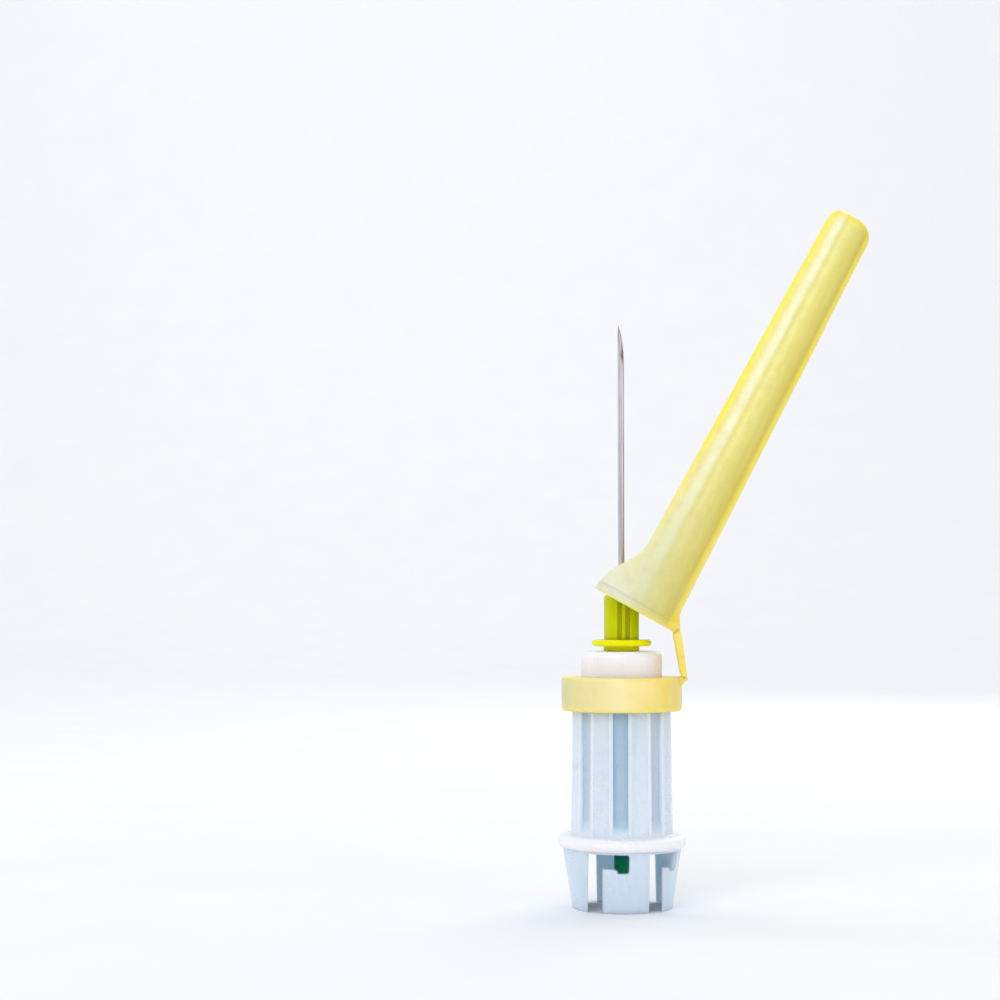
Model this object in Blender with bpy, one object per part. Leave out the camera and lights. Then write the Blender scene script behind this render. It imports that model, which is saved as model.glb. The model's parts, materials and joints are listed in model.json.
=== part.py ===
"""Safety blood collection needle: a double-ended cannula in a ribbed hub, on a tube
holder with a bayonet skirt, with a needle guard that hinges on a collar by a strap.

Metres, +Z up. The cannula lies on the Z axis, the holder's feet stand at z = 0, and
the guard folds out towards +X. A heading is an angle about Z, counted from -Y and
turning towards +X.
"""

import math

import bmesh
import bpy
from mathutils import Matrix, Vector

MM = 0.001
DEGREE = math.pi / 180

# Running gaps between pieces that seat in each other
GLUE_GAP = 0.03 * MM
SEAT_GAP = 0.06 * MM
HINGE_GAP = 0.34 * MM

# Cannula
CANNULA_RADIUS = 0.45 * MM
CANNULA_WALL = 0.15 * MM
CANNULA_EXPOSED = 38.5 * MM
BEVEL_LENGTH = 6.0 * MM
BEVEL_HEADING = 48 * DEGREE
LANCET_LENGTH = 3.1 * MM
LANCET_TURN = 36 * DEGREE
REAR_POINT_HEIGHT = 5.2 * MM
REAR_BEVEL_LENGTH = 2.4 * MM

# Holder: shoulder, collar seat, barrel
FLANGE_HEIGHT = 8.5 * MM
FLANGE_THICKNESS = 1.8 * MM
FLANGE_REACH = 1.95 * MM
BARREL_LENGTH = 17.45 * MM
BARREL_TOP_RADIUS = 6.9 * MM
BARREL_TAPER = 0.25 * MM
BARREL_WALL = 1.05 * MM
BARREL_ROUND = 0.5 * MM
SEAT_ROUND = 0.25 * MM
SHOULDER_STEP = 1.15 * MM
SHOULDER_LENGTH = 3.65 * MM
SHOULDER_WALL = 1.35 * MM
SHOULDER_ROUND = 0.9 * MM
BOSS_WALL = 1.15 * MM
BOSS_LENGTH = 12.8 * MM
SNAP_BEAD = 0.2 * MM
SNAP_BEAD_REACH = 0.36 * MM

# Flutes and ribs down the barrel
FLUTE_COUNT = 8
FLUTE_WIDTH = 2.1 * MM
FLUTE_DEPTH = 0.5 * MM
FLUTE_HEADING = -1.5 * DEGREE
FLUTE_RUNOUT = 2.0 * MM
RIB_WIDTH = 0.5 * MM
RIB_HEIGHT = 0.13 * MM
RIB_ROOT = 0.3 * MM
FLUTE_MARGIN = 0.25 * MM

# Bayonet skirt
SKIRT_SETBACK = 0.7 * MM
SKIRT_TAPER = 1.35 * MM
SKIRT_WALL = 1.1 * MM
LEAD_IN_WIDTH = 0.42 * MM
LEAD_IN_HEIGHT = 1.5 * MM
BAYONET_HEADING = 4.5 * DEGREE
SLOT_OFFSET = 4.2 * MM
SLOT_WIDTH = 1.95 * MM
CATCH_SWEEP = 34.5 * DEGREE
CATCH_HEIGHT = 2.65 * MM
CATCH_ROUND = 0.5 * MM
CATCH_LINTEL = 0.25 * MM
CATCH_NOSE = 0.6 * MM
CATCH_NOSE_SWEEP = 18 * DEGREE

# Collar
COLLAR_WALL = 1.65 * MM
COLLAR_HEIGHT = 4.75 * MM
COLLAR_WEB = 1.1 * MM
COLLAR_ROUND = 0.42 * MM
LUG_REACH = 0.75 * MM
LUG_THICKNESS = 0.3 * MM

# Hub
HUB_RADIUS = 2.55 * MM
HUB_HEIGHT = 8.05 * MM
HUB_ROUND = 0.7 * MM
HUB_NECK = 0.65 * MM
HUB_DISC_RADIUS = 4.25 * MM
HUB_DISC_THICKNESS = 0.92 * MM
HUB_GROOVE_COUNT = 4
HUB_GROOVE_WIDTH = 1.8 * MM
HUB_GROOVE_DEPTH = 0.85 * MM
HUB_GROOVE_HEADING = 8 * DEGREE
HUB_RIB_WIDTH = 0.46 * MM
HUB_RIB_SINK = 0.2 * MM
HUB_RIB_ROOT = 0.3 * MM
GLUE_WELL_RADIUS = 1.0 * MM
GLUE_WELL_DEPTH = 0.9 * MM
GLUE_CROWN = 0.7 * MM
SPIGOT_RADIUS = 1.7 * MM
SPIGOT_OVERHANG = 1.4 * MM
NIPPLE_RADIUS = 1.1 * MM
NIPPLE_LENGTH = 3.1 * MM
NIPPLE_BARB = 0.16 * MM

# Valve sleeve
SLEEVE_WALL = 0.42 * MM
SLEEVE_BAND = 0.3 * MM
SLEEVE_SLACK = 0.28 * MM
SLEEVE_END_WALL = 1.1 * MM
SLEEVE_POINT_GAP = 0.5 * MM

# Strap
STRAP_SPAN = 5.62 * MM
STRAP_LEAN = -6.8 * DEGREE
STRAP_THICKNESS = 1.0 * MM
STRAP_FILM = 0.4 * MM
STRAP_FILM_HEIGHT = 0.5 * MM
STRAP_COLLAR_WIDTH = 4.4 * MM
STRAP_GUARD_WIDTH = 6.6 * MM
STRAP_EDGE = 0.14 * MM

# Guard
GUARD_LENGTH = 64.1 * MM
GUARD_LEAN = 27.1 * DEGREE
GUARD_WALL = 0.72 * MM
GUARD_BASE_DEPTH = 8.9 * MM
GUARD_TIP_DEPTH = 6.75 * MM
GUARD_BASE_WIDTH = 7.9 * MM
GUARD_TIP_WIDTH = 6.9 * MM
BACK_ROUNDNESS = 0.92
RIM_HEIGHT = 1.1 * MM
RIM_LIP = 0.2 * MM
RIM_STEP = 0.08 * MM
RIM_SLANT = 0.5 * MM
FLARE_HEIGHT = 8.4 * MM
FLARE_FRONT = 3.3 * MM
FLARE_SIDE = 1.6 * MM
HEEL_REACH = 1.3 * MM
HEEL_HEIGHT = 2.0 * MM
TIP_ROUND = 2.5 * MM
TIP_BACK = 1.9 * MM
TIP_FRONT = 1.4 * MM
TIP_SIDE = 1.2 * MM
SPINE_WIDTH = 1.2 * MM
SPINE_HEIGHT = 0.55 * MM
SPINE_START = 10.5 * MM
SPINE_LENGTH = 37.0 * MM
SLIT_WIDTH = 1.0 * MM
SLIT_START = 48.8 * MM
SLIT_LENGTH = 11.6 * MM
CATCH_LIP_HEIGHT = 33.0 * MM
CATCH_LIP_LENGTH = 2.4 * MM
CATCH_LIP_DEPTH = 7.1 * MM
CATCH_LIP_THICKNESS = 0.6 * MM
CATCH_LIP_OPENING = 1.5 * MM

# Levels and radii that follow from the sizes above
FLANGE_TOP = FLANGE_HEIGHT + FLANGE_THICKNESS
BARREL_FOOT_RADIUS = BARREL_TOP_RADIUS + BARREL_TAPER
FLANGE_RADIUS = BARREL_FOOT_RADIUS + FLANGE_REACH
SHOULDER_RADIUS = BARREL_TOP_RADIUS - SHOULDER_STEP
SKIRT_TOP_RADIUS = FLANGE_RADIUS - SKIRT_SETBACK
SKIRT_FOOT_RADIUS = SKIRT_TOP_RADIUS - SKIRT_TAPER
COLLAR_RADIUS = BARREL_TOP_RADIUS + COLLAR_WALL
COLLAR_FOOT = FLANGE_TOP + BARREL_LENGTH
COLLAR_TOP = COLLAR_FOOT + COLLAR_HEIGHT
SHOULDER_TOP = COLLAR_TOP + SHOULDER_LENGTH
SEAT_TOP = COLLAR_TOP - COLLAR_WEB - SEAT_GAP
SNAP_HEIGHT = COLLAR_FOOT + 0.44 * COLLAR_HEIGHT
HUB_FOOT = SHOULDER_TOP + SEAT_GAP
DISC_FOOT = HUB_FOOT + HUB_NECK
DISC_TOP = DISC_FOOT + HUB_DISC_THICKNESS
HUB_TOP = HUB_FOOT + HUB_HEIGHT
CANNULA_TIP = HUB_TOP + CANNULA_EXPOSED
CANNULA_BORE = CANNULA_RADIUS - CANNULA_WALL
GLUED_BORE = CANNULA_RADIUS + GLUE_GAP
BOSS_BORE = SPIGOT_RADIUS + SEAT_GAP
BOSS_FOOT = SHOULDER_TOP - SHOULDER_WALL - BOSS_LENGTH
SPIGOT_FOOT = BOSS_FOOT - SPIGOT_OVERHANG
NIPPLE_FOOT = SPIGOT_FOOT - NIPPLE_LENGTH
HINGE_RADIUS = COLLAR_RADIUS + LUG_REACH - STRAP_THICKNESS / 2
COLLAR_HINGE = Vector((HINGE_RADIUS, 0, COLLAR_TOP + HINGE_GAP / 2))
GUARD_HINGE_OFFSET = Vector((STRAP_SPAN * math.sin(STRAP_LEAN), 0, STRAP_SPAN * math.cos(STRAP_LEAN)))

ROUND_SIDES = 56
FINE_SIDES = 20
ARC_STEPS = 4


def at_heading(radius, heading, z=0.0):
    """The point at a radius and a height, in the direction of a heading."""
    return Vector((radius * math.sin(heading), -radius * math.cos(heading), z))


def blend(start, end, share):
    return start + (end - start) * share


def smoothstep(share):
    share = min(max(share, 0.0), 1.0)
    return share * share * (3 - 2 * share)


def rounded(outline, radii, steps=ARC_STEPS):
    """A closed outline of 2-D points, with an arc at each corner whose radius is named."""
    points = []
    for index, corner in enumerate(outline):
        radius = radii.get(index)
        corner = Vector(corner)
        if radius is None:
            points.append(corner)
            continue
        before = (Vector(outline[index - 1]) - corner).normalized()
        after = (Vector(outline[(index + 1) % len(outline)]) - corner).normalized()
        half_angle = before.angle(after) / 2
        centre = corner + (before + after).normalized() * radius / math.sin(half_angle)
        start = corner + before * radius / math.tan(half_angle) - centre
        end = corner + after * radius / math.tan(half_angle) - centre
        sweep = start.angle_signed(end)
        for step in range(steps + 1):
            turn = Matrix.Rotation(-sweep * step / steps, 2)
            points.append(centre + turn @ start)
    return points


def loft(bm, rings):
    """A closed solid through rings of equal length, with a face at each end."""
    loops = [[bm.verts.new(point) for point in ring] for ring in rings]
    for lower, upper in zip(loops, loops[1:]):
        for index in range(len(lower)):
            near = index - 1
            bm.faces.new((lower[near], lower[index], upper[index], upper[near]))
    bm.faces.new(reversed(loops[0]))
    bm.faces.new(loops[-1])


def radial_slab(bm, outline, width, heading, offset=0.0):
    """An outline of radius and height points, as wide as stated, standing along a heading."""
    side = at_heading(1, heading + math.pi / 2)
    middle = [at_heading(r, heading, z) + side * offset for r, z in outline]
    loft(bm, [[point + side * reach for point in middle] for reach in (-width / 2, width / 2)])


def box(bm, low, high):
    """A box between two corners."""
    x0, y0, z0 = low
    x1, y1, z1 = high
    loft(bm, [[(x0, y0, z), (x1, y0, z), (x1, y1, z), (x0, y1, z)] for z in (z0, z1)])


def mesh_from(name, bm):
    """The mesh of what is in bm, with its faces pointing out and its round sides smooth."""
    bmesh.ops.recalc_face_normals(bm, faces=bm.faces)
    mesh = bpy.data.meshes.new(name)
    bm.to_mesh(mesh)
    bm.free()
    mesh.shade_smooth()
    mesh.set_sharp_from_angle(angle=32 * DEGREE)
    return mesh


def piece(name, mesh, material):
    """An object of the scene with its own material."""
    made = bpy.data.objects.new(name, mesh)
    bpy.context.scene.collection.objects.link(made)
    mesh.materials.append(material)
    return made


def plastic(name, colour, roughness, metallic=0.0):
    """A Principled material with a plain colour."""
    material = bpy.data.materials.new(name)
    material.use_nodes = True
    shader = material.node_tree.nodes["Principled BSDF"]
    shader.inputs["Base Color"].default_value = (*colour, 1)
    shader.inputs["Roughness"].default_value = roughness
    shader.inputs["Metallic"].default_value = metallic
    material.diffuse_color = (*colour, 1)
    return material


def turned(outline, sides=ROUND_SIDES):
    """A bmesh of a closed outline of radius and height points, turned about Z."""
    bm = bmesh.new()
    rings = []
    for side in range(sides):
        heading = 2 * math.pi * side / sides
        rings.append([bm.verts.new(at_heading(r, heading, z)) for r, z in outline])
    for index, ring in enumerate(rings):
        before = rings[index - 1]
        for here in range(len(ring)):
            bm.faces.new((before[here - 1], before[here], ring[here], ring[here - 1]))
    bmesh.ops.remove_doubles(bm, verts=bm.verts, dist=1e-8)
    return bm


def shaped(target, operation, *tools):
    """The target's mesh after a Boolean with each tool in turn. A tool is a filled bmesh."""
    helpers = []
    for tool in tools:
        helper = bpy.data.objects.new(target.name + "_tool", mesh_from(target.name + "_tool", tool))
        bpy.context.scene.collection.objects.link(helper)
        helper.hide_render = True
        helper.display_type = "WIRE"
        modifier = target.modifiers.new(operation.lower(), "BOOLEAN")
        modifier.operation = operation
        modifier.object = helper
        helpers.append(helper)
    graph = bpy.context.evaluated_depsgraph_get()
    mesh = bpy.data.meshes.new_from_object(target.evaluated_get(graph))
    target.modifiers.clear()
    target.data = mesh
    for helper in helpers:
        bpy.data.objects.remove(helper)
    mesh.shade_smooth()
    mesh.set_sharp_from_angle(angle=32 * DEGREE)


def beyond_plane(point, normal, size):
    """A bmesh cube of a given size that fills the outer side of a plane."""
    bm = bmesh.new()
    bmesh.ops.create_cube(bm, size=size)
    turn = normal.to_track_quat("Z", "Y").to_matrix().to_4x4()
    bmesh.ops.transform(
        bm, matrix=Matrix.Translation(point + normal.normalized() * size / 2) @ turn, verts=bm.verts
    )
    return bm


def bevel_plane(tip, up, length, heading, plane_heading):
    """A grinding cut that starts at the point of a tube, on the wall away from heading."""
    start = at_heading(-CANNULA_RADIUS, heading, tip)
    normal = at_heading(length, plane_heading, up * 2 * CANNULA_RADIUS)
    return beyond_plane(start, normal, 4 * length)


def make_cannula(material):
    """A tube with a lancet bevel in front and a shorter plain bevel behind."""
    outline = [
        (CANNULA_BORE, REAR_POINT_HEIGHT),
        (CANNULA_RADIUS, REAR_POINT_HEIGHT),
        (CANNULA_RADIUS, CANNULA_TIP),
        (CANNULA_BORE, CANNULA_TIP),
    ]
    cannula = piece("cannula", mesh_from("cannula", turned(outline, FINE_SIDES)), material)
    cuts = [bevel_plane(CANNULA_TIP, 1, BEVEL_LENGTH, BEVEL_HEADING, BEVEL_HEADING)]
    for turn in (-LANCET_TURN, LANCET_TURN):
        cuts.append(bevel_plane(CANNULA_TIP, 1, LANCET_LENGTH, BEVEL_HEADING, BEVEL_HEADING + turn))
    cuts.append(bevel_plane(REAR_POINT_HEIGHT, -1, REAR_BEVEL_LENGTH, BEVEL_HEADING, BEVEL_HEADING))
    shaped(cannula, "DIFFERENCE", *cuts)
    return cannula


def make_hub(material):
    """The colour-coded hub: grooved body, disc, neck, and a spigot with a barbed nipple."""
    barb = NIPPLE_RADIUS + NIPPLE_BARB
    outline = [
        (GLUED_BORE, HUB_TOP - GLUE_WELL_DEPTH),
        (GLUE_WELL_RADIUS, HUB_TOP),
        (HUB_RADIUS, HUB_TOP),
        (HUB_RADIUS, DISC_TOP),
        (HUB_DISC_RADIUS, DISC_TOP),
        (HUB_DISC_RADIUS, DISC_FOOT),
        (HUB_RADIUS, DISC_FOOT),
        (HUB_RADIUS, HUB_FOOT),
        (SPIGOT_RADIUS, HUB_FOOT),
        (SPIGOT_RADIUS, SPIGOT_FOOT),
        (NIPPLE_RADIUS, SPIGOT_FOOT),
        (NIPPLE_RADIUS, blend(SPIGOT_FOOT, NIPPLE_FOOT, 0.45)),
        (barb, blend(SPIGOT_FOOT, NIPPLE_FOOT, 0.5)),
        (NIPPLE_RADIUS, NIPPLE_FOOT),
        (GLUED_BORE, NIPPLE_FOOT),
    ]
    disc_round = 0.42 * HUB_DISC_THICKNESS
    outline = rounded(outline, {2: HUB_ROUND, 4: disc_round, 5: disc_round}, steps=3)
    hub = piece("needle_hub", mesh_from("needle_hub", turned(outline, 40)), material)
    grooves = bmesh.new()
    ribs = bmesh.new()
    floor = HUB_RADIUS - HUB_GROOVE_DEPTH
    top = HUB_TOP - HUB_ROUND
    for index in range(HUB_GROOVE_COUNT):
        heading = HUB_GROOVE_HEADING + 2 * math.pi * index / HUB_GROOVE_COUNT
        reach = HUB_RADIUS + MM
        groove = [(floor, DISC_TOP), (reach, DISC_TOP), (reach, top), (HUB_RADIUS, top)]
        groove.append((floor, top - HUB_GROOVE_DEPTH))
        radial_slab(grooves, groove, HUB_GROOVE_WIDTH, heading)
        crest = HUB_RADIUS - HUB_RIB_SINK
        root = floor - HUB_RIB_ROOT
        foot = DISC_TOP - HUB_DISC_THICKNESS / 4
        rib = [(root, foot), (crest, foot), (crest, top), (root, top)]
        radial_slab(ribs, rib, HUB_RIB_WIDTH, heading)
    shaped(hub, "DIFFERENCE", grooves)
    shaped(hub, "UNION", ribs)
    return hub


def make_adhesive_bead(material):
    """The glue in the hub's well, with a crown that climbs the cannula."""
    inner = CANNULA_RADIUS + 2 * GLUE_GAP
    slope = (GLUE_WELL_RADIUS - GLUED_BORE) / GLUE_WELL_DEPTH
    floor = HUB_TOP - 0.7 * GLUE_WELL_DEPTH
    rim = GLUE_WELL_RADIUS - 2 * GLUE_GAP
    floor_radius = GLUE_WELL_RADIUS - (HUB_TOP - floor) * slope - 2 * GLUE_GAP
    outline = [
        (inner, floor),
        (floor_radius, floor),
        (rim, HUB_TOP),
        (blend(inner, rim, 0.62), HUB_TOP + 0.2 * GLUE_CROWN),
        (blend(inner, rim, 0.3), HUB_TOP + 0.5 * GLUE_CROWN),
        (blend(inner, rim, 0.12), HUB_TOP + GLUE_CROWN),
        (inner, HUB_TOP + GLUE_CROWN),
    ]
    return piece("adhesive_bead", mesh_from("adhesive_bead", turned(outline, FINE_SIDES)), material)


def make_valve_sleeve(material):
    """The rubber sleeve, pushed over the nipple and closed below the rear point."""
    over_barb = NIPPLE_RADIUS + NIPPLE_BARB + GLUE_GAP
    over_needle = CANNULA_RADIUS + SLEEVE_SLACK
    top = SPIGOT_FOOT - SEAT_GAP
    outer = over_needle + SLEEVE_WALL
    band = over_barb + SLEEVE_BAND
    hollow_foot = REAR_POINT_HEIGHT - SLEEVE_POINT_GAP
    foot = hollow_foot - SLEEVE_END_WALL
    outline = [
        (0, hollow_foot),
        (over_needle, hollow_foot + over_needle / 2),
        (over_needle, NIPPLE_FOOT - SLEEVE_BAND),
        (over_barb, NIPPLE_FOOT - SEAT_GAP),
        (over_barb, top),
        (band, top),
        (band, NIPPLE_FOOT - SLEEVE_BAND),
        (outer, NIPPLE_FOOT - 3 * SLEEVE_BAND),
        (outer, foot),
        (0, foot),
    ]
    outline = rounded(outline, {5: SLEEVE_BAND / 2, 8: 0.8 * SLEEVE_END_WALL})
    return piece("valve_sleeve", mesh_from("valve_sleeve", turned(outline, 28)), material)


def holder_outline():
    """The holder's section from its bore, over the shoulder and down to the feet, and back up inside."""
    barrel_bore = BARREL_TOP_RADIUS - BARREL_WALL
    shoulder_bore = SHOULDER_RADIUS - SHOULDER_WALL
    ceiling = SHOULDER_TOP - SHOULDER_WALL
    boss_radius = BOSS_BORE + BOSS_WALL
    skirt_top_bore = SKIRT_TOP_RADIUS - SKIRT_WALL
    skirt_foot_bore = SKIRT_FOOT_RADIUS - SKIRT_WALL
    bead_radius = BARREL_TOP_RADIUS + SNAP_BEAD
    outline = [
        (BOSS_BORE, SHOULDER_TOP),
        (SHOULDER_RADIUS, SHOULDER_TOP),
        (SHOULDER_RADIUS, SEAT_TOP),
        (BARREL_TOP_RADIUS, SEAT_TOP),
        (BARREL_TOP_RADIUS, SNAP_HEIGHT + SNAP_BEAD_REACH),
        (bead_radius, SNAP_HEIGHT),
        (BARREL_TOP_RADIUS, SNAP_HEIGHT - SNAP_BEAD_REACH),
        (BARREL_TOP_RADIUS, COLLAR_FOOT),
        (BARREL_FOOT_RADIUS, FLANGE_TOP),
        (FLANGE_RADIUS, FLANGE_TOP),
        (FLANGE_RADIUS, FLANGE_HEIGHT),
        (SKIRT_TOP_RADIUS, FLANGE_HEIGHT),
        (SKIRT_FOOT_RADIUS, 0),
        (skirt_foot_bore + LEAD_IN_WIDTH, 0),
        (skirt_foot_bore, LEAD_IN_HEIGHT),
        (skirt_top_bore, FLANGE_HEIGHT),
        (barrel_bore, FLANGE_TOP - BARREL_ROUND),
        (barrel_bore, SEAT_TOP - SHOULDER_WALL),
        (shoulder_bore, SEAT_TOP - 0.8 * SHOULDER_WALL),
        (shoulder_bore, ceiling),
        (boss_radius, ceiling),
        (boss_radius, BOSS_FOOT),
        (BOSS_BORE, BOSS_FOOT),
    ]
    flange_round = 0.46 * FLANGE_THICKNESS
    rounds = {1: SHOULDER_ROUND, 3: SEAT_ROUND, 8: BARREL_ROUND, 9: flange_round, 10: flange_round}
    return rounded(outline, rounds, steps=3)


def flute_tools():
    """Recesses down the barrel that run out above the flange, and the two ribs beside each."""
    top = COLLAR_FOOT + FLUTE_MARGIN
    end = FLANGE_TOP + 2 * FLUTE_MARGIN
    floor = BARREL_TOP_RADIUS - FLUTE_DEPTH
    reach = BARREL_FOOT_RADIUS + MM
    flute = [(floor, top), (reach, top), (reach, end), (BARREL_FOOT_RADIUS, end)]
    flute.append((floor, end + FLUTE_RUNOUT))
    crest_top = BARREL_TOP_RADIUS + RIB_HEIGHT
    crest_foot = BARREL_FOOT_RADIUS + RIB_HEIGHT
    rib_top = COLLAR_FOOT - 2 * SEAT_GAP
    root = BARREL_TOP_RADIUS - RIB_ROOT
    rib = [
        (root, rib_top),
        (crest_top, rib_top),
        (crest_foot, FLANGE_TOP),
        (crest_foot, FLANGE_TOP - RIB_ROOT),
        (root, FLANGE_TOP - RIB_ROOT),
    ]
    flutes = bmesh.new()
    ribs = bmesh.new()
    beside = (FLUTE_WIDTH + RIB_WIDTH) / 2 / BARREL_TOP_RADIUS
    for index in range(FLUTE_COUNT):
        heading = FLUTE_HEADING + 2 * math.pi * index / FLUTE_COUNT
        radial_slab(flutes, flute, FLUTE_WIDTH, heading)
        radial_slab(ribs, rib, RIB_WIDTH, heading - beside)
        radial_slab(ribs, rib, RIB_WIDTH, heading + beside)
    return flutes, ribs


def catch_stops():
    """Along a catch: the turn from its slot, how far its floor stands up, and its ceiling down."""
    nose_end = CATCH_NOSE_SWEEP + CATCH_NOSE / SKIRT_TOP_RADIUS
    round_turn = CATCH_ROUND / SKIRT_TOP_RADIUS
    stops = [(CATCH_NOSE_SWEEP * step / 3, CATCH_NOSE, 0) for step in range(4)]
    stops += [(blend(nose_end, CATCH_SWEEP - round_turn, step / 2), 0, 0) for step in range(3)]
    for step in range(1, ARC_STEPS):
        angle = math.pi / 2 * step / ARC_STEPS
        inset = CATCH_ROUND * (1 - math.cos(angle))
        stops.append((CATCH_SWEEP - round_turn * (1 - math.sin(angle)), inset, inset))
    return stops


def bayonet_tools():
    """Two entry slots up each side of the skirt, drawn straight out, and a catch off each one's top."""
    inner = BOSS_BORE + BOSS_WALL
    outer = FLANGE_RADIUS + 3 * MM
    catch_top = FLANGE_HEIGHT - CATCH_LINTEL
    catch_foot = catch_top - CATCH_HEIGHT
    entries = bmesh.new()
    catches = bmesh.new()
    turn = math.asin(SLOT_OFFSET / blend(SKIRT_FOOT_RADIUS, SKIRT_TOP_RADIUS, 0.8))
    entry = [(inner, -MM), (outer, -MM), (outer, catch_top), (inner, catch_top)]
    for draw, side in ((0, -1), (0, 1), (math.pi, -1), (math.pi, 1)):
        draw_heading = BAYONET_HEADING + draw
        radial_slab(entries, entry, SLOT_WIDTH, draw_heading, side * SLOT_OFFSET)
        heading = draw_heading + side * turn
        rings = []
        for stop, rise, drop in catch_stops():
            low = catch_foot + rise
            high = catch_top - drop
            corners = [(inner, low), (outer, low), (outer, high), (inner, high)]
            rings.append([at_heading(r, heading + stop, z) for r, z in corners])
        loft(catches, rings)
    return entries, catches


def make_holder(material):
    """One moulding: shoulder, inner boss, fluted barrel, flange and four-legged bayonet skirt."""
    holder = piece("holder", mesh_from("holder", turned(holder_outline())), material)
    flutes, ribs = flute_tools()
    entries, catches = bayonet_tools()
    shaped(holder, "UNION", ribs)
    shaped(holder, "DIFFERENCE", flutes)
    shaped(holder, "DIFFERENCE", entries)
    shaped(holder, "DIFFERENCE", catches)
    return holder


def make_collar(material):
    """The snap-on ring round the holder, with the lug that its strap hinges on."""
    bore = BARREL_TOP_RADIUS + SEAT_GAP
    web_bore = SHOULDER_RADIUS + SEAT_GAP
    groove = bore + SNAP_BEAD
    reach = SNAP_BEAD_REACH + SEAT_GAP
    outline = [
        (web_bore, COLLAR_TOP),
        (COLLAR_RADIUS, COLLAR_TOP),
        (COLLAR_RADIUS, COLLAR_FOOT),
        (bore, COLLAR_FOOT),
        (bore, SNAP_HEIGHT - reach),
        (groove, SNAP_HEIGHT),
        (bore, SNAP_HEIGHT + reach),
        (bore, COLLAR_TOP - COLLAR_WEB),
        (web_bore, COLLAR_TOP - COLLAR_WEB),
    ]
    outline = rounded(outline, {1: COLLAR_ROUND, 2: COLLAR_ROUND})
    collar = piece("guard_collar", mesh_from("guard_collar", turned(outline)), material)
    lug = bmesh.new()
    half = STRAP_COLLAR_WIDTH / 2
    root = COLLAR_RADIUS - 2 * COLLAR_ROUND
    face = COLLAR_RADIUS + LUG_REACH
    foot = COLLAR_TOP - LUG_THICKNESS
    section = [(root, COLLAR_TOP), (face, COLLAR_TOP), (face, foot), (root, foot - face + root)]
    loft(lug, [[Vector((x, y, z)) for x, z in section] for y in (-half, half)])
    shaped(collar, "UNION", lug)
    return collar


def make_strap(material):
    """The flexible strap, thin at both hinge lines and wider at the guard, upright on its lower hinge."""
    low = HINGE_GAP / 2
    high = STRAP_SPAN - HINGE_GAP / 2
    film = STRAP_FILM_HEIGHT
    heights = [low, low + film, low + 1.6 * film, (low + high) / 2, high - 1.6 * film, high - film, high]
    rings = []
    for z in heights:
        near_end = min(z - low, high - z)
        swell = smoothstep((near_end / film - 0.6) / 1.0)
        depth = blend(STRAP_FILM, STRAP_THICKNESS, swell) / 2
        width = blend(STRAP_COLLAR_WIDTH, STRAP_GUARD_WIDTH, (z - low) / (high - low)) / 2
        corner_in = width - STRAP_EDGE
        side_in = depth - STRAP_EDGE / 2
        quarter = [(depth, corner_in), (side_in, width)]
        section = quarter + [(-x, y) for x, y in reversed(quarter)]
        section += [(-x, -y) for x, y in section]
        rings.append([(x, y, z) for x, y in section])
    bm = bmesh.new()
    loft(bm, rings)
    return piece("guard_strap", mesh_from("guard_strap", bm), material)


def trough_section(height, length, inset, overhang):
    """The trough's outline at a height above its rim: round at its back, +X, and open towards -X."""
    along = height / GUARD_LENGTH
    flare = smoothstep(1 - (height - RIM_HEIGHT) / FLARE_HEIGHT)
    heel = HEEL_REACH * (1 - smoothstep((height - RIM_HEIGHT) / HEEL_HEIGHT))
    lip = RIM_LIP if height <= RIM_HEIGHT and inset == 0 else 0
    into_tip = min(max((height - (length - TIP_ROUND)) / TIP_ROUND, 0), 1)
    shrink = 1 - math.sqrt(1 - into_tip * into_tip)
    half = blend(GUARD_BASE_WIDTH, GUARD_TIP_WIDTH, along) / 2 + FLARE_SIDE * flare + lip
    half -= TIP_SIDE * shrink + inset
    back = heel + lip - HEEL_REACH - TIP_BACK * shrink - inset
    depth = blend(GUARD_BASE_DEPTH, GUARD_TIP_DEPTH, along)
    front = -HEEL_REACH - depth - FLARE_FRONT * flare - lip + TIP_FRONT * shrink - overhang
    rim_depth = HEEL_REACH + GUARD_BASE_DEPTH + FLARE_FRONT
    hollow = BACK_ROUNDNESS * half
    points = [(front, -half)]
    for step in range(13):
        angle = math.pi * (step / 12 - 0.5)
        points.append((back - hollow + hollow * math.cos(angle), half * math.sin(angle)))
    points.append((front, half))
    level = HINGE_GAP / 2 + height
    return [(x, y, level - RIM_SLANT * flare * x / rim_depth) for x, y in points]


def trough_heights(length):
    """Section heights: close together through the flare and the round tip, and far apart between."""
    heights = [RIM_HEIGHT + HEEL_HEIGHT * step / 4 for step in range(1, 5)]
    heights += [blend(RIM_HEIGHT + HEEL_HEIGHT, RIM_HEIGHT + FLARE_HEIGHT, step / 6) for step in range(1, 7)]
    heights += [blend(RIM_HEIGHT + FLARE_HEIGHT, length - TIP_ROUND, share) for share in (0.5, 1)]
    heights += [length - TIP_ROUND * (1 - math.sin(math.pi / 2 * step / 5)) for step in range(1, 6)]
    return heights


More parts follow.
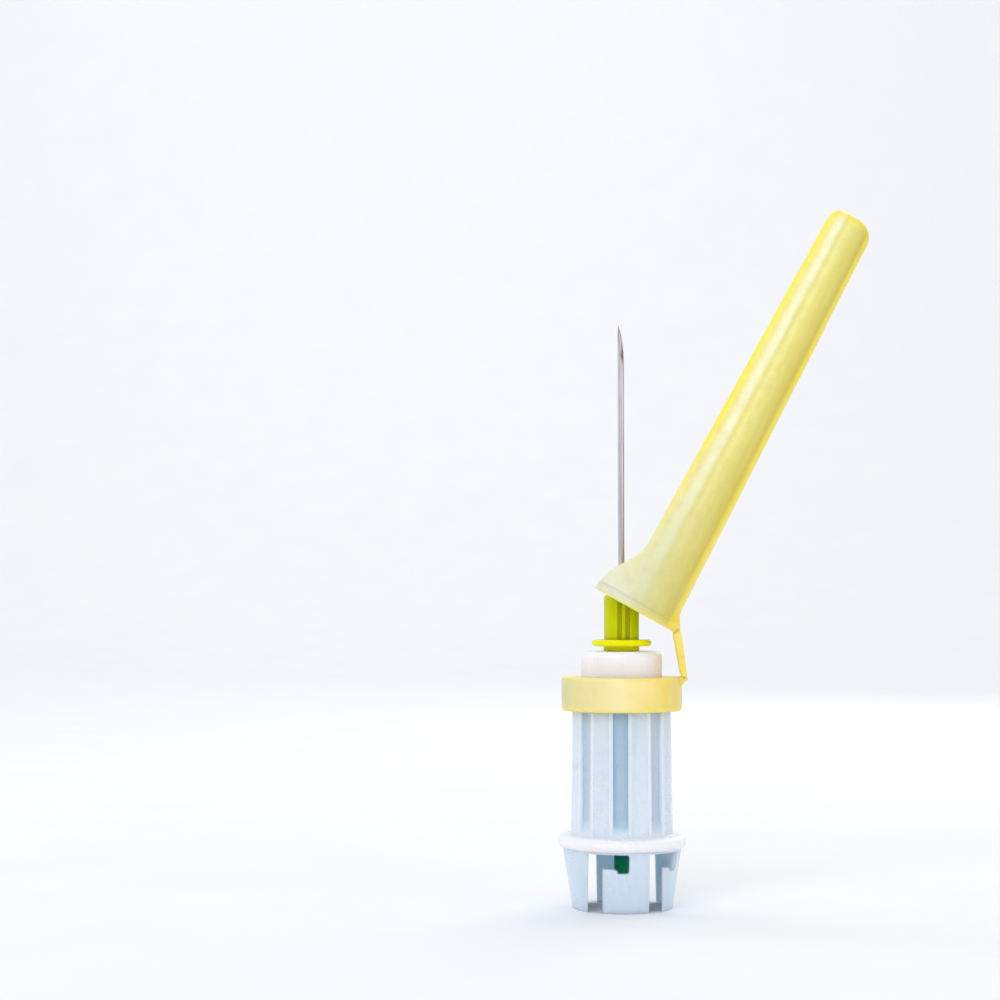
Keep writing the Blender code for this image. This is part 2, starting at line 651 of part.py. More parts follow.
def make_guard(material):
    """The needle guard, upright on its hinge: a flared trough with a closed tip, open towards -X."""
    body = bmesh.new()
    heights = [0, RIM_HEIGHT, RIM_HEIGHT + RIM_STEP] + trough_heights(GUARD_LENGTH)
    loft(body, [trough_section(height, GUARD_LENGTH, 0, 0) for height in heights])
    guard = piece("guard", mesh_from("guard", body), material)
    channel = bmesh.new()
    inner_length = GUARD_LENGTH - GUARD_WALL
    heights = [-MM, RIM_HEIGHT] + trough_heights(inner_length)
    loft(channel, [trough_section(height, inner_length, GUARD_WALL, 4 * MM) for height in heights])
    shaped(guard, "DIFFERENCE", channel)
    rim = HINGE_GAP / 2
    back = -HEEL_REACH
    floor = back - GUARD_WALL
    spine = bmesh.new()
    spine_foot = rim + SPINE_START
    crest = floor - SPINE_HEIGHT
    root = back - 0.4 * GUARD_WALL
    half = SPINE_WIDTH / 2
    box(spine, (crest, -half, spine_foot), (root, half, spine_foot + SPINE_LENGTH))
    shaped(guard, "UNION", spine, catch_lips(rim))
    slit = bmesh.new()
    slit_foot = rim + SLIT_START
    half = SLIT_WIDTH / 2
    box(slit, (crest, -half, slit_foot), (back + MM, half, slit_foot + SLIT_LENGTH))
    shaped(guard, "DIFFERENCE", slit)
    return guard


def catch_lips(rim):
    """Two sloping lips inside the trough, which hold the cannula in once it has snapped past."""
    foot = rim + CATCH_LIP_HEIGHT
    top = foot + CATCH_LIP_LENGTH
    wall = blend(GUARD_BASE_WIDTH, GUARD_TIP_WIDTH, CATCH_LIP_HEIGHT / GUARD_LENGTH) / 2 - GUARD_WALL / 2
    near = -HEEL_REACH - CATCH_LIP_DEPTH
    tip = CATCH_LIP_OPENING / 2
    lips = bmesh.new()
    for side in (-1, 1):
        section = [
            (near, side * wall),
            (near + CATCH_LIP_THICKNESS, side * tip),
            (near + 2 * CATCH_LIP_THICKNESS, side * tip),
            (near + 2 * CATCH_LIP_THICKNESS, side * wall),
        ]
        loft(lips, [[(x, y, z) for x, y in section] for z in (foot, top)])
    return lips


def main():
    for old in list(bpy.data.objects):
        bpy.data.objects.remove(old)
    steel = plastic("cannula_steel", (0.62, 0.6, 0.63), 0.28, 1.0)
    glue = plastic("clear_adhesive", (0.85, 0.84, 0.7), 0.2)
    hub_yellow = plastic("hub_yellow", (0.55, 0.56, 0.02), 0.25)
    rubber = plastic("green_rubber", (0.005, 0.11, 0.07), 0.55)
    milky = plastic("milky_holder_plastic", (0.72, 0.79, 0.9), 0.35)
    collar_yellow = plastic("pale_yellow_collar", (0.88, 0.76, 0.36), 0.42)
    strap_yellow = plastic("pale_yellow_strap", (0.88, 0.76, 0.36), 0.42)
    guard_yellow = plastic("yellow_guard_plastic", (0.87, 0.78, 0.27), 0.4)
    make_cannula(steel)
    make_adhesive_bead(glue)
    make_hub(hub_yellow)
    make_valve_sleeve(rubber)
    make_holder(milky)
    make_collar(collar_yellow)
    strap = make_strap(strap_yellow)
    guard = make_guard(guard_yellow)
    strap.location = COLLAR_HINGE
    strap.rotation_euler.y = STRAP_LEAN
    guard.parent = strap
    guard.location = (0, 0, STRAP_SPAN)
    guard.rotation_euler.y = GUARD_LEAN - STRAP_LEAN


main()
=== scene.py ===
"""Looks of the safety blood collection needle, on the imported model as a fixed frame.

Metres, +Z up. The cannula lies on the Z axis and the camera looks along +Y.
"""

import json
import math

import bmesh
import bpy
from mathutils import Euler, Matrix, Vector


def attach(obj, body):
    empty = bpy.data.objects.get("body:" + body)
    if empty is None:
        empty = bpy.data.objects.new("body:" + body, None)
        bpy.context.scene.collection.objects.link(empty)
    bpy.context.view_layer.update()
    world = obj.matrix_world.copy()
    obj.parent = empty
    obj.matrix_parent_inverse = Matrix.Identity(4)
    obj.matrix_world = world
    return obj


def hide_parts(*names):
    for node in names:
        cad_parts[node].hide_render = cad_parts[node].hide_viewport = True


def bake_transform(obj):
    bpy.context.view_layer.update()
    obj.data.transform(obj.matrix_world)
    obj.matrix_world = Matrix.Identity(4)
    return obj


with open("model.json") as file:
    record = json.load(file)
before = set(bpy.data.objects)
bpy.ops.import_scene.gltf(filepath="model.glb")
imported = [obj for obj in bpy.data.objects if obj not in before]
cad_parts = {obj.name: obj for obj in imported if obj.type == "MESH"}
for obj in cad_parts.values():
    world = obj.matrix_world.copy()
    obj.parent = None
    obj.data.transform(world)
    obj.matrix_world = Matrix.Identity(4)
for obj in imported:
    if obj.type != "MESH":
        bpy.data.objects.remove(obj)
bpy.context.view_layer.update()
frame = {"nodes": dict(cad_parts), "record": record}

MM = 0.001
DEGREE = math.pi / 180

# Hinge lines of the guard, and how far strap and guard lean at rest
JOINTS = {joint["name"]: Vector(joint["pos_m"]) for joint in frame["record"]["behaviour"]["joints"]}
COLLAR_HINGE = JOINTS["strap_hinge"]
GUARD_HINGE = JOINTS["guard_hinge"]
STRAP_SPAN = (GUARD_HINGE - COLLAR_HINGE).length
STRAP_LEAN = -6.8 * DEGREE
GUARD_LEAN = 27.1 * DEGREE

# The guard in its own directions: its back lies this far in from the hinge line
GUARD_LENGTH = 64.1 * MM
GUARD_BACK = 1.3 * MM
GUARD_BASE_DEPTH = 8.9 * MM
GUARD_TIP_DEPTH = 6.75 * MM

# The heel keeps this share of what stands out beyond the back's line, and less of it further up
HEEL_HEIGHT = 6 * MM
HEEL_KEPT = 0.72
HEEL_LOSS = 0.6
HEEL_LOSS_START = 0.6 * MM
HEEL_LOSS_RUN = 3.2 * MM

# Rounded outer edges: the fold that counts as one, the room it needs in widths, and each width
EDGE_FOLD = 38 * DEGREE
EDGE_ROOM = 2.1
EDGE_STEPS = 3
GUARD_EDGE = 0.14 * MM
COLLAR_EDGE = 0.1 * MM
HOLDER_EDGE = 0.08 * MM
HUB_EDGE = 0.07 * MM

# What a copied mesh is cleaned by: points this near are one, and folds this flat are none
SAME_POINT = 0.001 * MM
SAME_BEVEL_POINT = 0.0006 * MM
FLAT_FOLD = 0.8 * DEGREE

# The strap's section at the collar, and what it gains or loses on its way to the guard
STRAP_HALF_THICKNESS = 0.46 * MM
STRAP_WIDTH = 4.4 * MM
STRAP_WIDENING = 2.2 * MM
STRAP_OUTER_LOSS = 0.12 * MM
STRAP_INNER_GAIN = 0.34 * MM

# How round the strap's edges are: a share of its thickness, counted up to a limit
STRAP_ROUNDING = 0.36
ROUNDING_LIMIT = 0.6 * MM
STRAP_CREASE = 50 * DEGREE

# The bending groove over the collar's hinge line
GROOVE_REACH = 0.5 * MM
GROOVE_OUTER = 0.06 * MM
GROOVE_INNER = 0.1 * MM

# The strap's two ends: how far they run into collar and guard, and the taper of the upper one
STRAP_FOOT = 0.28 * MM
STRAP_HEAD = 0.9 * MM
TAPER_START = 0.4 * MM
TAPER_RUN = 0.5 * MM
TAPER_OUTER = 0.15 * MM
TAPER_INNER = 0.2 * MM
TAPER_WIDTH = 1.4 * MM
STRAP_STEPS = 24

# Heights and radii at which a finish changes
SKIRT_TOP = 8.2 * MM
BARREL_FOOT = 10.4 * MM
FLANGE_RADIUS = 8.6 * MM
COLLAR_FOOT = 27.9 * MM
COLLAR_TOP = 32.5 * MM
DISC_FOOT = 36.9 * MM
DISC_TOP = 38.3 * MM


def linear(red, green, blue):
    """A colour given in 0 to 255, as linear light."""
    shares = [value / 255 for value in (red, green, blue)]
    return tuple(((s + 0.055) / 1.055) ** 2.4 if s > 0.04045 else s / 12.92 for s in shares)


def smooth(share):
    """A share of 0 to 1 that starts and ends gently."""
    share = min(max(share, 0), 1)
    return share * share * (3 - 2 * share)


class Graph:
    """A node material that is put together step by step."""

    def __init__(self, name, **constants):
        self.material = bpy.data.materials.new(name)
        self.material.use_nodes = True
        self.nodes = self.material.node_tree.nodes
        self.links = self.material.node_tree.links
        self.shader = self.nodes["Principled BSDF"]
        for key, value in constants.items():
            self.shader.inputs[key.replace("_", " ")].default_value = value
        self.place = self.node("ShaderNodeTexCoord").outputs["Object"]

    def plug(self, socket, value):
        """Links another node's output to a socket, or sets the socket to a constant."""
        if isinstance(value, bpy.types.NodeSocket):
            self.links.new(value, socket)
        elif socket.type == "RGBA":
            socket.default_value = (*value, 1)
        else:
            socket.default_value = value

    def node(self, kind, inputs=None, **settings):
        made = self.nodes.new(kind)
        for key, value in settings.items():
            setattr(made, key, value)
        for key, value in (inputs or {}).items():
            self.plug(made.inputs[key], value)
        return made

    def set(self, name, output):
        self.links.new(output, self.shader.inputs[name])

    def math(self, operation, first, second=0.0):
        return self.node("ShaderNodeMath", {0: first, 1: second}, operation=operation).outputs[0]

    def turned(self, origin, angle):
        """The object's coordinates from an origin, turned back about Y by an angle."""
        moved = self.node("ShaderNodeVectorMath", {0: self.place, 1: -origin}, operation="ADD")
        inputs = {"Vector": moved.outputs[0], "Angle": -angle}
        return self.node("ShaderNodeVectorRotate", inputs, rotation_type="Y_AXIS").outputs[0]

    def stretched(self, scale, vector=None):
        """Coordinates scaled on each axis, so that a texture runs along one of them."""
        inputs = {"Vector": vector or self.place, "Scale": scale}
        return self.node("ShaderNodeMapping", inputs).outputs[0]

    def parts(self, vector):
        return self.node("ShaderNodeSeparateXYZ", {0: vector}).outputs

    def radius(self):
        """Distance from the Z axis, in metres."""
        x, y, _z = self.parts(self.place)
        return self.math("SQRT", self.math("ADD", self.math("MULTIPLY", x, x), self.math("MULTIPLY", y, y)))

    def span(self, value, low, high, to_low=0.0, to_high=1.0):
        """A value brought from one range to another, and kept inside it."""
        inputs = {"Value": value, "From Min": low, "From Max": high, "To Min": to_low, "To Max": to_high}
        return self.node("ShaderNodeMapRange", inputs).outputs[0]

    def noise(self, scale, detail=3.0, roughness=0.55, vector=None):
        place = vector or self.place
        inputs = {"Vector": place, "Scale": scale, "Detail": detail, "Roughness": roughness}
        return self.node("ShaderNodeTexNoise", inputs).outputs["Fac"]

    def wavered(self, value, cloud, reach):
        """A value that a noise pushes to and fro, by half the reach to each side."""
        push = self.math("MULTIPLY", self.math("SUBTRACT", cloud, 0.5), reach)
        return self.math("ADD", value, push)

    def ramp(self, value, stops):
        """A colour ramp through (place, colour) stops, each colour in 0 to 255."""
        made = self.node("ShaderNodeValToRGB", {"Fac": value})
        elements = made.color_ramp.elements
        while len(elements) < len(stops):
            elements.new(0.5)
        for element, (position, colour) in zip(elements, stops):
            element.position = position
            element.color = (*linear(*colour), 1)
        return made.outputs["Color"]

    def mix(self, share, first, second):
        """Two colours mixed, more of the second where the share is high."""
        made = self.node("ShaderNodeMix", data_type="RGBA")
        for socket, value in ((made.inputs[0], share), (made.inputs[6], first), (made.inputs[7], second)):
            self.plug(socket, value)
        return made.outputs[2]

    def rough(self, value, low, high, smoothest, roughest):
        self.set("Roughness", self.span(value, low, high, smoothest, roughest))

    def bump(self, height, strength, distance):
        inputs = {"Height": height, "Strength": strength, "Distance": distance}
        self.set("Normal", self.node("ShaderNodeBump", inputs).outputs[0])

    def moulded(self, cloud, flow, grain_scale, grain_share, smoothest, roughest, relief):
        """The skin of a moulding: sheen that varies, fine grain and the lines of its flow."""
        grain = self.noise(grain_scale, 2, 0.5)
        self.rough(self.math("ADD", grain, cloud), 0.7, 1.3, smoothest, roughest)
        height = self.math("ADD", self.math("MULTIPLY", grain, grain_share), flow)
        self.bump(height, relief, 0.06 * MM)


def guard_plastic():
    """Translucent yellow: bright along its open edges and its back, paler between, greyer at its base; a
    painted highlight streak runs nearer the open edges, and painted shade darkens an olive band toward the
    back.
    """
    g = Graph(
        "guard_moulding",
        Subsurface_Weight=0.22,
        Subsurface_Scale=1.6 * MM,
        Subsurface_Radius=(1.0, 0.8, 0.25),
        Specular_IOR_Level=0.38,
        IOR=1.49,
        Coat_Weight=0.12,
        Coat_Roughness=0.25,
    )
    own_place = g.turned(GUARD_HINGE, GUARD_LEAN)
    x, _y, z = g.parts(own_place)
    # From 0 at the back to 1 at the open edges
    depth = g.span(z, 0, GUARD_LENGTH, GUARD_BASE_DEPTH, GUARD_TIP_DEPTH)
    across = g.math("DIVIDE", g.math("MULTIPLY", g.math("ADD", x, GUARD_BACK), -1.0), depth)
    cloud = g.noise(260, 4, 0.6)
    across = g.wavered(across, cloud, 0.025)
    # Painted light across the side: the pale stops at 0.71 and 0.77 are a painted highlight streak, and the
    # olive stops at 0.13 to 0.27 are painted shade where the side curves round toward the back
    upper = g.ramp(
        across,
        [
            (0.03, (252, 226, 16)),
            (0.09, (238, 214, 44)),
            (0.13, (212, 194, 70)),
            (0.27, (217, 205, 98)),
            (0.42, (230, 219, 122)),
            (0.54, (242, 233, 148)),
            (0.63, (234, 224, 130)),
            (0.71, (250, 246, 206)),
            (0.77, (249, 244, 196)),
            (0.86, (242, 231, 140)),
            (0.97, (254, 232, 44)),
        ],
    )
    # Near the base, the olive stop at 0.14 is the same painted shade toward the back
    base = g.ramp(
        across,
        [
            (0.03, (250, 222, 20)),
            (0.09, (240, 214, 48)),
            (0.14, (208, 192, 80)),
            (0.4, (209, 203, 124)),
            (0.62, (213, 210, 152)),
            (0.8, (219, 220, 182)),
            (1.0, (223, 226, 202)),
        ],
    )
    base_ends = 4 * MM
    upper_starts = 34 * MM
    along = g.math("ADD", z, g.math("MULTIPLY", cloud, 8 * MM))
    colour = g.mix(g.span(along, base_ends, upper_starts), base, upper)
    rim = g.span(z, 0.3 * MM, 1.2 * MM, 0.75, 0.0)
    colour = g.mix(rim, colour, linear(246, 226, 96))
    tip = g.span(z, GUARD_LENGTH - 1.8 * MM, GUARD_LENGTH - 0.4 * MM, 0.0, 0.6)
    colour = g.mix(tip, colour, linear(250, 230, 62))
    flow = g.noise(900, 3, 0.6, g.stretched((1, 1, 0.12), own_place))
    colour = g.mix(g.span(flow, 0.35, 0.75, 0.0, 0.10), colour, linear(255, 252, 225))
    mottle = g.noise(620, 4, 0.65)
    colour = g.mix(g.span(mottle, 0.42, 0.7, 0.0, 0.22), colour, linear(204, 194, 104))
    g.set("Base Color", colour)
    g.moulded(cloud, flow, 5200, 0.4, smoothest=0.3, roughest=0.46, relief=0.25)
    return g.material


def collar_plastic(name):
    """The guard's plastic on the collar and strap, a little more orange, with painted light and shade from
    its left side to its right.
    """
    g = Graph(
        name,
        Subsurface_Weight=0.3,
        Subsurface_Scale=1.8 * MM,
        Subsurface_Radius=(1.0, 0.75, 0.3),
        IOR=1.49,
        Coat_Weight=0.1,
        Coat_Roughness=0.3,
    )
    x, _y, z = g.parts(g.place)
    cloud = g.noise(320, 4, 0.6)
    # Painted light by side: painted shade on the left (-X) side, palest in the middle where the light falls
    # most, deeper yellow toward the right
    side = g.wavered(g.span(x, -9 * MM, 9 * MM), cloud, 0.25)
    colour = g.ramp(
        side,
        [
            (0.0, (214, 208, 142)),
            (0.2, (232, 220, 150)),
            (0.5, (252, 233, 170)),
            (0.8, (246, 219, 104)),
            (1.0, (234, 214, 118)),
        ],
    )
    top = g.span(z, COLLAR_TOP - 0.4 * MM, COLLAR_TOP, 0.0, 0.6)
    foot = g.span(z, COLLAR_FOOT, COLLAR_FOOT + 0.8 * MM, 0.6, 0.0)
    colour = g.mix(g.math("ADD", top, foot), colour, linear(252, 226, 92))
    flow = g.noise(1100, 3, 0.6, g.stretched((1, 1, 0.3)))
    colour = g.mix(g.span(flow, 0.35, 0.75, 0.0, 0.08), colour, linear(255, 250, 232))
    g.set("Base Color", colour)
    g.moulded(cloud, flow, 5200, 0.4, smoothest=0.34, roughest=0.5, relief=0.12)
    return g.material


def milky_plastic():
    """Milky, faintly blue, with painted light by radius: a painted highlight whitens what stands proud,
    painted shade deepens the blue in the flutes and inside, and the skirt's inside is painted lighter.
    """
    g = Graph(
        "milky_moulding",
        Subsurface_Weight=0.7,
        Subsurface_Scale=3.8 * MM,
        Subsurface_Radius=(0.8, 0.95, 1.0),
        IOR=1.5,
        Coat_Weight=0.15,
        Coat_Roughness=0.2,
    )
    x, _y, z = g.parts(g.place)
    cloud = g.noise(240, 4, 0.6)
    radius = g.wavered(g.radius(), cloud, 0.25 * MM)
    # Painted highlight on the outer ridges, which turn whiter, and painted shade that leaves the flute
    # floors and the bore a deeper blue
    barrel = g.ramp(
        g.span(radius, 5.0 * MM, 7.6 * MM),
        [
            (0.0, (206, 228, 251)),
            (0.5, (208, 228, 251)),
            (0.62, (208, 228, 251)),
            (0.72, (212, 230, 251)),
            (0.9, (232, 241, 253)),
        ],
    )
    # Painted shade: a deep blue strip in the flutes that face front and back, standing in for the darker
    # boss seen through the plastic
    near_middle = g.span(g.math("ABSOLUTE", x), 1.5 * MM, 3 * MM, 1.0, 0.0)
    in_flute = g.span(radius, 6.7 * MM, 7 * MM, 1.0, 0.0)
    barrel = g.mix(g.math("MULTIPLY", near_middle, in_flute), barrel, linear(175, 210, 242))
    # Painted light: the skirt's inside is painted lighter, standing in for light that comes through its
    # milky wall
    skirt = g.ramp(
        g.span(radius, 5.6 * MM, 7.4 * MM),
        [(0.0, (210, 236, 255)), (0.5, (204, 228, 252)), (1.0, (206, 225, 250))],
    )
    body = g.mix(g.span(z, SKIRT_TOP, BARREL_FOOT), skirt, barrel)
    under_collar = g.span(z, 30 * MM, 32 * MM)
    shoulder = linear(251, 244, 255)
    colour = g.mix(under_collar, body, shoulder)
    far_out = g.span(radius, FLANGE_RADIUS - 0.6 * MM, FLANGE_RADIUS)
    above_skirt = g.span(z, SKIRT_TOP + 0.1 * MM, SKIRT_TOP + 0.4 * MM)
    colour = g.mix(g.math("MULTIPLY", far_out, above_skirt), colour, linear(245, 244, 249))
    flow = g.noise(700, 3, 0.6, g.stretched((1, 1, 0.15)))
    colour = g.mix(g.span(flow, 0.4, 0.75, 0.0, 0.18), colour, linear(250, 251, 255))
    g.set("Base Color", colour)
    g.moulded(cloud, flow, 4800, 0.1, smoothest=0.22, roughest=0.4, relief=0.05)
    return g.material


def hub_plastic():
    """Olive yellow, darker down in its grooves and brighter on its disc; the neck under the disc is painted
    brighter, as painted light against the disc's shadow.
    """
    g = Graph(
        "hub_moulding",
        Subsurface_Weight=0.2,
        Subsurface_Scale=1.2 * MM,
        Subsurface_Radius=(1.0, 0.9, 0.02),
        IOR=1.5,
        Specular_IOR_Level=0.1,
        Coat_Weight=0.03,
        Coat_Roughness=0.1,
    )
    _x, _y, z = g.parts(g.place)
    cloud = g.noise(420, 3, 0.6)
    radius = g.wavered(g.radius(), cloud, 0.2 * MM)
    body = g.ramp(
        g.span(radius, 1.5 * MM, 2.6 * MM),
        [(0.0, (206, 204, 2)), (0.5, (206, 206, 1)), (1.0, (198, 207, 0))],
    )
    disc = g.mix(g.span(radius, 2.7 * MM, 3.6 * MM), linear(184, 188, 2), linear(236, 234, 8))
    # Painted light: the neck under the disc is painted brighter against the shadow that the disc casts on
    # it
    neck_painted_light = linear(240, 238, 4)
    disc = g.mix(g.span(z, DISC_FOOT, DISC_FOOT + 0.2 * MM), neck_painted_light, disc)
    g.set("Base Color", g.mix(g.span(z, DISC_TOP - 0.4 * MM, DISC_TOP), disc, body))
    grain = g.noise(5000, 2, 0.5)
    g.rough(g.math("ADD", grain, cloud), 0.7, 1.3, 0.14, 0.3)
    g.bump(grain, 0.15, 0.04 * MM)
    return g.material


def steel():
    """Ground stainless tube, with fine lines along it."""
    g = Graph("cannula_steel_tube", Metallic=1.0, IOR=2.5, Anisotropic=0.4)
    lines = g.noise(9000, 3, 0.6, g.stretched((1, 1, 0.02)))
    haze = g.noise(500, 3, 0.5, g.stretched((1, 1, 0.1)))
    shade = g.span(g.math("ADD", lines, haze), 0.7, 1.3)
    g.set("Base Color", g.mix(shade, linear(182, 176, 186), linear(226, 220, 228)))
    g.rough(lines, 0.3, 0.7, 0.26, 0.42)
    g.bump(lines, 0.2, 0.02 * MM)
    return g.material


def rubber():
    """Dark green moulded rubber with a faint bloom, bluer higher up."""
    g = Graph("sleeve_rubber", Specular_IOR_Level=0.2)
    bloom = g.noise(700, 4, 0.6)
    speck = g.noise(5200, 2, 0.5)
    _x, _y, z = g.parts(g.place)
    deep = g.mix(g.span(z, 6.5 * MM, 8.5 * MM), linear(2, 158, 104), linear(2, 96, 140))
    g.set("Base Color", g.mix(g.span(bloom, 0.4, 0.75, 0.0, 0.45), deep, linear(40, 140, 100)))
    g.rough(speck, 0.3, 0.7, 0.42, 0.62)
    g.bump(g.math("ADD", bloom, g.math("MULTIPLY", speck, 0.5)), 0.3, 0.06 * MM)
    return g.material


def glue():
    """Clear cured adhesive, faintly yellow, with small waves."""
    g = Graph("cured_adhesive", Transmission_Weight=0.5, IOR=1.52, Coat_Weight=0.4, Coat_Roughness=0.05)
    waves = g.noise(1500, 3, 0.5)
    g.set("Base Color", g.mix(g.span(waves, 0.35, 0.7), linear(236, 232, 196), linear(250, 248, 228)))
    g.rough(waves, 0.3, 0.7, 0.06, 0.16)
    g.bump(waves, 0.3, 0.05 * MM)
    return g.material


def make_object(name, bm, material):
    """An object in the scene, from a bmesh that isn't needed afterwards."""
    mesh = bpy.data.meshes.new(name)
    bm.to_mesh(mesh)
    bm.free()
    mesh.materials.append(material)
    made = bpy.data.objects.new(name, mesh)
    bpy.context.scene.collection.objects.link(made)
    return made


def apply_modifiers(made):
    """Makes the modifiers part of the mesh."""
    graph = bpy.context.evaluated_depsgraph_get()
    mesh = bpy.data.meshes.new_from_object(made.evaluated_get(graph))
    made.modifiers.clear()
    made.data = mesh


def slim_heel(bm):
    """Draws the guard's heel in, so that its back runs down into the strap in one line."""
    place = Matrix.Translation(GUARD_HINGE) @ Matrix.Rotation(GUARD_LEAN, 4, "Y")
    back = place.inverted()
    for vert in bm.verts:
        local = back @ vert.co
        if local.x > -GUARD_BACK and local.z < HEEL_HEIGHT:
            kept = HEEL_KEPT - HEEL_LOSS * smooth((local.z - HEEL_LOSS_START) / HEEL_LOSS_RUN)
            local.x = -GUARD_BACK + kept * (local.x + GUARD_BACK)
            vert.co = place @ local


def mark_edges(bm, width):
    """Weights the outer edges that have room for a bevel, and keeps the other folds sharp."""
    room = {vert: min(edge.calc_length() for edge in vert.link_edges) for vert in bm.verts}
    weight = bm.edges.layers.float.new("bevel_weight_edge")
    for edge in bm.edges:
        folded = edge.calc_face_angle(0) > EDGE_FOLD
        roomy = min(room[vert] for vert in edge.verts) > EDGE_ROOM * width
        rounded = folded and edge.is_convex and roomy
        edge[weight] = float(rounded)
        edge.smooth = rounded or not folded
    for face in bm.faces:
        face.smooth = True


def softened(node, body, material, width, shaping=None):
    """Stands for a node, in its own shape, with its outer edges rounded where there is room."""
    bm = bmesh.new()
    bm.from_mesh(frame["nodes"][node].data)
    bmesh.ops.remove_doubles(bm, verts=bm.verts, dist=SAME_POINT)
    bmesh.ops.dissolve_limit(
        bm, angle_limit=FLAT_FOLD, verts=bm.verts, edges=bm.edges, delimit={"NORMAL"}
    )
    if shaping:
        shaping(bm)
    mark_edges(bm, width)
    made = make_object(node + "_moulding", bm, material)
    bevel = made.modifiers.new("rounded_edges", "BEVEL")
    bevel.width = width
    bevel.segments = EDGE_STEPS
    bevel.limit_method = "WEIGHT"
    bevel.use_clamp_overlap = False
    bevel.harden_normals = True
    bevel.miter_outer = "MITER_ARC"
    weld = made.modifiers.new("no_collapsed_faces", "WELD")
    weld.merge_threshold = SAME_BEVEL_POINT
    cut = made.modifiers.new("even_triangles", "TRIANGULATE")
    cut.ngon_method = "BEAUTY"
    cut.keep_custom_normals = True
    apply_modifiers(made)
    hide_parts(node)
    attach(made, body)


def loft(bm, rings):
    """A closed solid through rings of equal length, with a face at each end."""
    loops = [[bm.verts.new(point) for point in ring] for ring in rings]
    for lower, upper in zip(loops, loops[1:]):
        for index in range(len(lower)):
            near = index - 1
            bm.faces.new((lower[near], lower[index], upper[index], upper[near]))
    bm.faces.new(reversed(loops[0]))
    bm.faces.new(loops[-1])


def rounded_band(width, outer, inner, steps=5):
    """The section of a flat band with round edges: X is its thickness and Y its width."""
    edge = STRAP_ROUNDING * min(outer + inner, ROUNDING_LIMIT)
    points = []
    for corner, (sx, sy) in enumerate(((1, 1), (-1, 1), (-1, -1), (1, -1))):
        face = outer if sx > 0 else -inner
        for step in range(steps + 1):
            angle = (corner + step / steps) * math.pi / 2
            x = face - sx * edge + edge * math.cos(angle)
            y = sy * (width / 2 - edge) + edge * math.sin(angle)
            points.append((x, y))
    return points


def strap_axes():
    """The strap's own directions at rest: through its thickness, and up along it."""
    turn = Matrix.Rotation(STRAP_LEAN, 3, "Y")
    return turn @ Vector((1, 0, 0)), turn @ Vector((0, 0, 1))


def strap_section(level):
    """The strap's section at a distance from the lower hinge line."""
    share = min(max(level / STRAP_SPAN, 0), 1)
    groove = smooth(1 - abs(level) / GROOVE_REACH)
    taper = smooth((level - STRAP_SPAN - TAPER_START) / TAPER_RUN)
    outer = STRAP_HALF_THICKNESS - GROOVE_OUTER * groove - STRAP_OUTER_LOSS * share - TAPER_OUTER * taper
    inner = STRAP_HALF_THICKNESS - GROOVE_INNER * groove + STRAP_INNER_GAIN * share - TAPER_INNER * taper
    width = STRAP_WIDTH + STRAP_WIDENING * share - TAPER_WIDTH * taper
    return rounded_band(width, outer, inner)


def strap_half(name, low, high, material):
    """A length of the strap between two distances from the lower hinge line."""
    across, up = strap_axes()
    rings = []
    for step in range(STRAP_STEPS + 1):
        level = low + (high - low) * step / STRAP_STEPS
        centre = COLLAR_HINGE + up * level
        rings.append([centre + across * x + Vector((0, y, 0)) for x, y in strap_section(level)])
    bm = bmesh.new()
    loft(bm, rings)
    bmesh.ops.recalc_face_normals(bm, faces=bm.faces)
    made = make_object(name, bm, material)
    made.data.shade_smooth()
    made.data.set_sharp_from_angle(angle=STRAP_CREASE)
    return made


def make_strap(material):
    """The strap in two lengths that meet halfway, the lower one from the collar's hinge line and the upper
    one into the guard.
    """
    _across, up = strap_axes()
    lower = strap_half("strap_lower", -STRAP_FOOT, STRAP_SPAN / 2, material)
    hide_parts("guard_strap")
    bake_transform(lower)
    upper = strap_half("strap_upper", STRAP_SPAN / 2, STRAP_SPAN + STRAP_HEAD, material)
    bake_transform(upper)


def paint(node, material):
    """Gives a carried-over node its finish."""
    slots = frame["nodes"][node].data.materials
    slots.clear()
    slots.append(material)


def make_studio():
    """A pale floor that curves up into a backdrop."""
    half_width = 4
    front = -4
    bend_start = 0.9
    bend_radius = 0.6
    bend_steps = 16
    backdrop_top = 2.5
    profile = [(front, 0.0), (bend_start, 0.0)]
    for step in range(1, bend_steps + 1):
        angle = math.pi / 2 * step / bend_steps
        profile.append((bend_start + bend_radius * math.sin(angle), bend_radius * (1 - math.cos(angle))))
    profile.append((bend_start + bend_radius, backdrop_top))
    bm = bmesh.new()
    rows = [[bm.verts.new((x, y, z)) for x in (-half_width, half_width)] for y, z in profile]
    for near, far in zip(rows, rows[1:]):
        bm.faces.new((near[0], near[1], far[1], far[0]))
    g = Graph("studio_paper", Specular_IOR_Level=0.1)
    g.set("Base Color", g.mix(g.noise(40, 3), (0.86, 0.865, 0.875), (0.9, 0.9, 0.905)))
    g.rough(g.noise(300), 0.3, 0.7, 0.8, 0.95)
    floor = make_object("studio_floor", bm, g.material)
    floor.data.shade_smooth()


def area_light(name, place, target, size, power, colour=(1, 1, 1)):
    """A softbox at a place, turned to a target."""
    light = bpy.data.lights.new(name, "AREA")
    light.shape = "RECTANGLE"
    light.size, light.size_y = size
    light.energy = power
    light.color = colour
    lamp = bpy.data.objects.new(name, light)
    bpy.context.scene.collection.objects.link(lamp)
    lamp.location = place
    lamp.rotation_euler = (Vector(target) - Vector(place)).to_track_quat("-Z", "Y").to_euler()


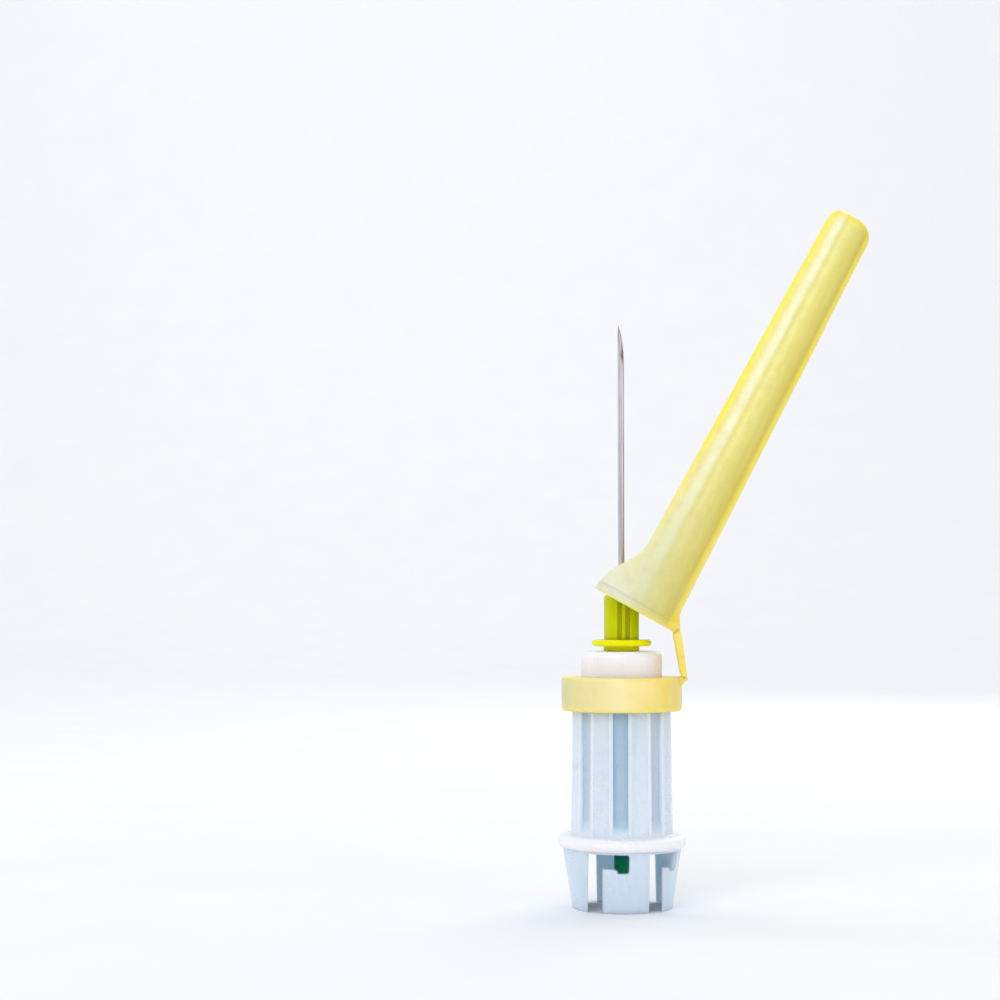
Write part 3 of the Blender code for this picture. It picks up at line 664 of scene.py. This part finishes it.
def make_lights():
    """Soft daylight from the front left, with even light all round."""
    middle = (0.008, 0, 0.05)
    area_light("key_softbox", (-0.2, -0.54, 0.42), middle, (0.45, 0.45), 1.66, (0.96, 0.97, 1.0))
    area_light("fill_softbox", (0.5, -0.35, 0.22), middle, (0.4, 0.5), 0.6)
    area_light("rim_softbox", (0.25, 0.4, 0.35), middle, (0.4, 0.4), 0.6)
    area_light("left_strip", (-0.4, 0.1, 0.12), middle, (0.15, 0.5), 0.25)
    area_light("backdrop_light", (-0.2, 0.5, 1.3), (-0.1, 1.5, 0.3), (1.6, 0.5), 9)
    world = bpy.data.worlds.new("studio_air")
    bpy.context.scene.world = world
    world.use_nodes = True
    air = world.node_tree.nodes["Background"]
    air.inputs["Color"].default_value = (0.93, 0.95, 1.0, 1)
    air.inputs["Strength"].default_value = 0.62
    bpy.context.scene.view_settings.view_transform = "Standard"


def make_camera():
    """Level with the hub, and turned so that the cannula's axis shows right of the picture's centre."""
    distance = 300 * MM
    height = 43.4 * MM
    picture_pixels = 1000
    focal_pixels = 2100
    axis_right_of_centre = 121.3
    horizon_below_centre = 100
    data = bpy.data.cameras.new("camera")
    data.sensor_width = 36
    data.lens = data.sensor_width * focal_pixels / picture_pixels
    data.clip_start = 10 * MM
    camera = bpy.data.objects.new("camera", data)
    bpy.context.scene.collection.objects.link(camera)
    camera.location = (0, -distance, height)
    tilt = 90 * DEGREE + math.atan(horizon_below_centre / focal_pixels)
    turn = math.atan(axis_right_of_centre / focal_pixels)
    camera.rotation_euler = Euler((tilt, 0, turn))
    bpy.context.scene.camera = camera


softened("guard", "guard", guard_plastic(), GUARD_EDGE, shaping=slim_heel)
softened("guard_collar", "needle_and_holder", collar_plastic("collar_moulding"), COLLAR_EDGE)
softened("holder", "needle_and_holder", milky_plastic(), HOLDER_EDGE)
softened("needle_hub", "needle_and_holder", hub_plastic(), HUB_EDGE)
paint("cannula", steel())
paint("adhesive_bead", glue())
paint("valve_sleeve", rubber())
make_strap(collar_plastic("strap_moulding"))
make_studio()
make_lights()
make_camera()
